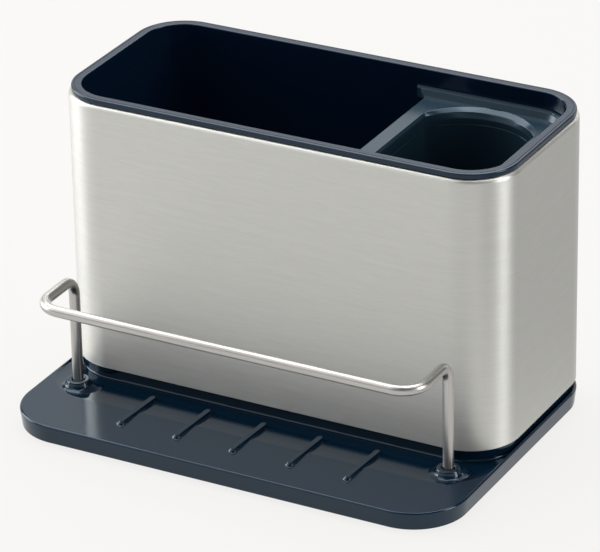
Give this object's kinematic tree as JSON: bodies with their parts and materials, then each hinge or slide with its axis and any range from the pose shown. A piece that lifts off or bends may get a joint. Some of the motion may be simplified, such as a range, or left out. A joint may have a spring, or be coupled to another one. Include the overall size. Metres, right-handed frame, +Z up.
{
  "type": "sink organizer",
  "caption": "Steel-wrapped sink caddy with a lift-out liner and brush cup, standing on a moulded drip tray with a wire cloth rail.",
  "frame": {"origin": "middle of the drip tray's footprint, on the surface that the feet stand on", "axes": "+Z up, -Y towards the cloth rail at the front, +X towards the brush cup's end"},
  "size_m": [0.222, 0.1564, 0.1461],
  "materials": {
    "tray_plastic": "glossy dark slate moulding",
    "foot_rubber": "matte black rubber",
    "sleeve_steel": "fine brushing along the width",
    "collar_plastic": "dark slate moulding",
    "liner_plastic": "satin gloss dark slate moulding",
    "insert_plastic": "satin gloss dark slate moulding",
    "rail_steel": "satin drawn wire"
  },
  "bodies": {
    "tray": {"drip_tray": "tray_plastic", "foot_front_left": "foot_rubber", "foot_front_right": "foot_rubber", "foot_back_left": "foot_rubber", "foot_back_right": "foot_rubber"},
    "caddy": {"outer_sleeve": "sleeve_steel", "sleeve_collar": "collar_plastic"},
    "liner": {"inner_liner": "liner_plastic"},
    "insert": {"brush_insert": "insert_plastic"},
    "rail": {"rail": "rail_steel"}
  },
  "joints": [
    {"name": "caddy_lift", "type": "slide", "parent": "tray", "child": "caddy", "axis": [0, 0, 1], "range_m": [0, 0.04]},
    {"name": "liner_lift", "type": "slide", "parent": "caddy", "child": "liner", "axis": [0, 0, 1], "range_m": [0, 0.14]},
    {"name": "insert_lift", "type": "slide", "parent": "liner", "child": "insert", "axis": [0, 0, 1], "range_m": [0, 0.12]},
    {"name": "rail_lift", "type": "slide", "parent": "tray", "child": "rail", "axis": [0, 0, 1], "range_m": [0, 0.02]}
  ]
}
